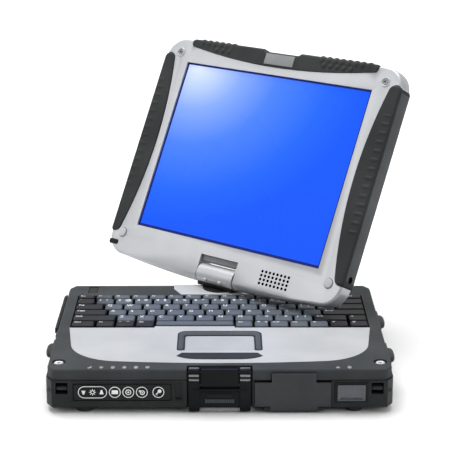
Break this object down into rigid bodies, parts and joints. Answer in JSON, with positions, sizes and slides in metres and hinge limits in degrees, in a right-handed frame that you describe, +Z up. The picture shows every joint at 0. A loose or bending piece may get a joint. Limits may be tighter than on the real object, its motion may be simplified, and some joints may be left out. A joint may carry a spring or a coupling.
{
  "type": "convertible notebook computer",
  "caption": "Rugged notebook computer with a keyboard base and a display on a central hinge that swivels and tilts.",
  "frame": {"origin": "centre of the footprint of the open computer on the desk, under the feet", "axes": "+X to the right of the keyboard, +Y to the back, +Z up"},
  "size_m": [0.3035, 0.3662, 0.2388],
  "materials": {
    "charcoal_case": "satin",
    "silver_paint": "satin",
    "grip_rubber": "matte",
    "black_plastic": "matte",
    "key_plastic": "matte",
    "button_plastic": "satin",
    "pad_plastic": "satin",
    "window_plastic": "gloss",
    "screen_glass": "clear",
    "screen_panel": "lit",
    "steel": "satin",
    "board_green": "satin",
    "bare_aluminium": "satin"
  },
  "bodies": {
    "base": {"bottom_case": "charcoal_case", "top_case": "charcoal_case", "palm_rest": "silver_paint", "touchpad_frame": "black_plastic", "touchpad": "pad_plastic", "status_lights": "window_plastic", "keyboard_tray": "black_plastic", "front_button_panel": "black_plastic", "latch_bracket": "black_plastic", "latch_pin": "steel", "battery_door_pin": "steel", "battery_pack": "black_plastic", "infrared_window": "window_plastic", "strap_bars": "steel", "rubber_feet": "grip_rubber", "deck_screws": "steel", "cover_pins": "steel", "side_sockets": "black_plastic", "power_inlet": "black_plastic", "main_board": "board_green", "heat_spreader": "bare_aluminium", "memory_module": "board_green", "radio_card": "board_green", "disk_drive": "bare_aluminium", "swivel_plate": "silver_paint"},
    "swivel": {"turntable": "black_plastic", "swivel_ring": "steel", "hinge_knuckle": "silver_paint"},
    "display": {"display_bezel": "silver_paint", "display_back": "silver_paint", "left_grip": "grip_rubber", "right_grip": "grip_rubber", "top_grip": "grip_rubber", "touch_glass": "screen_glass", "display_panel": "screen_panel", "tilt_shaft": "steel", "display_screws": "steel", "display_bumpers": "grip_rubber", "speaker": "black_plastic", "backlight_inverter": "board_green"},
    "function_key_row": {"function_key_row": "key_plastic"},
    "number_key_row": {"number_key_row": "key_plastic"},
    "upper_letter_row": {"upper_letter_row": "key_plastic"},
    "home_letter_row": {"home_letter_row": "key_plastic"},
    "lower_letter_row": {"lower_letter_row": "key_plastic"},
    "bottom_key_row": {"bottom_key_row": "key_plastic"},
    "space_bar": {"space_bar": "key_plastic"},
    "left_click_button": {"left_click_button": "black_plastic"},
    "right_click_button": {"right_click_button": "black_plastic"},
    "input_panel_button": {"input_panel_button": "button_plastic"},
    "rotate_button": {"rotate_button": "button_plastic"},
    "enter_button": {"enter_button": "button_plastic"},
    "security_button": {"security_button": "button_plastic"},
    "brightness_rocker": {"brightness_rocker": "button_plastic"},
    "display_latch": {"display_latch": "black_plastic"},
    "battery_door": {"battery_door": "black_plastic"},
    "card_slot_cover": {"card_slot_cover": "black_plastic"},
    "jack_cover": {"jack_cover": "black_plastic"},
    "network_cover": {"network_cover": "black_plastic"},
    "serial_cover": {"serial_cover": "black_plastic"}
  },
  "joints": [
    {"name": "display_swivel", "type": "hinge", "parent": "base", "child": "swivel", "pos_m": [-0.01114, 0.02425, 0.0365], "axis": [0, 0, 1], "range_deg": [-139, 41]},
    {"name": "display_tilt", "type": "hinge", "parent": "swivel", "child": "display", "pos_m": [-0.01114, 0.02425, 0.0465], "axis": [0.7547, -0.6561, 0], "range_deg": [-63.5, 116.5]},
    {"name": "function_key_row_press", "type": "slide", "parent": "base", "child": "function_key_row", "axis": [0, 0, -1], "range_m": [0, 0.002], "stiffness_N_per_m": 400, "springref_m": -0.0015},
    {"name": "number_key_row_press", "type": "slide", "parent": "base", "child": "number_key_row", "axis": [0, 0, -1], "range_m": [0, 0.002], "stiffness_N_per_m": 400, "springref_m": -0.0015},
    {"name": "upper_letter_row_press", "type": "slide", "parent": "base", "child": "upper_letter_row", "axis": [0, 0, -1], "range_m": [0, 0.002], "stiffness_N_per_m": 400, "springref_m": -0.0015},
    {"name": "home_letter_row_press", "type": "slide", "parent": "base", "child": "home_letter_row", "axis": [0, 0, -1], "range_m": [0, 0.002], "stiffness_N_per_m": 400, "springref_m": -0.0015},
    {"name": "lower_letter_row_press", "type": "slide", "parent": "base", "child": "lower_letter_row", "axis": [0, 0, -1], "range_m": [0, 0.002], "stiffness_N_per_m": 400, "springref_m": -0.0015},
    {"name": "bottom_key_row_press", "type": "slide", "parent": "base", "child": "bottom_key_row", "axis": [0, 0, -1], "range_m": [0, 0.002], "stiffness_N_per_m": 400, "springref_m": -0.0015},
    {"name": "space_bar_press", "type": "slide", "parent": "base", "child": "space_bar", "axis": [0, 0, -1], "range_m": [0, 0.002], "stiffness_N_per_m": 400, "springref_m": -0.0015},
    {"name": "left_click_button_press", "type": "slide", "parent": "base", "child": "left_click_button", "axis": [0, 0, -1], "range_m": [0, 0.0007], "stiffness_N_per_m": 800, "springref_m": -0.0005},
    {"name": "right_click_button_press", "type": "slide", "parent": "base", "child": "right_click_button", "axis": [0, 0, -1], "range_m": [0, 0.0007], "stiffness_N_per_m": 800, "springref_m": -0.0005},
    {"name": "input_panel_button_press", "type": "slide", "parent": "base", "child": "input_panel_button", "axis": [0, 1, 0], "range_m": [0, 0.0007], "stiffness_N_per_m": 800, "springref_m": -0.0005},
    {"name": "rotate_button_press", "type": "slide", "parent": "base", "child": "rotate_button", "axis": [0, 1, 0], "range_m": [0, 0.0007], "stiffness_N_per_m": 800, "springref_m": -0.0005},
    {"name": "enter_button_press", "type": "slide", "parent": "base", "child": "enter_button", "axis": [0, 1, 0], "range_m": [0, 0.0007], "stiffness_N_per_m": 800, "springref_m": -0.0005},
    {"name": "security_button_press", "type": "slide", "parent": "base", "child": "security_button", "axis": [0, 1, 0], "range_m": [0, 0.0007], "stiffness_N_per_m": 800, "springref_m": -0.0005},
    {"name": "brightness_rock", "type": "hinge", "parent": "base", "child": "brightness_rocker", "pos_m": [-0.10972, -0.17765, 0.0179], "axis": [0, 0, 1], "range_deg": [-2.5, 2.5], "stiffness_Nm_per_rad": 0.1},
    {"name": "latch_turn", "type": "hinge", "parent": "base", "child": "display_latch", "pos_m": [-0.01114, -0.17915, 0.0226], "axis": [1, 0, 0], "range_deg": [0, 40], "stiffness_Nm_per_rad": 0.05, "springref_deg": -14.32},
    {"name": "battery_door_turn", "type": "hinge", "parent": "base", "child": "battery_door", "pos_m": [0.04666, -0.18075, 0.0036], "axis": [1, 0, 0], "range_deg": [0, 90]},
    {"name": "card_slot_cover_turn", "type": "hinge", "parent": "base", "child": "card_slot_cover", "pos_m": [-0.14554, -0.03775, 0.0119], "axis": [0, -1, 0], "range_deg": [0, 95]},
    {"name": "jack_cover_turn", "type": "hinge", "parent": "base", "child": "jack_cover", "pos_m": [-0.14554, -0.11875, 0.0119], "axis": [0, -1, 0], "range_deg": [0, 95]},
    {"name": "network_cover_turn", "type": "hinge", "parent": "base", "child": "network_cover", "pos_m": [0.12326, -0.04875, 0.0119], "axis": [0, 1, 0], "range_deg": [0, 95]},
    {"name": "serial_cover_turn", "type": "hinge", "parent": "base", "child": "serial_cover", "pos_m": [0.12326, -0.13025, 0.0119], "axis": [0, 1, 0], "range_deg": [0, 95]}
  ]
}
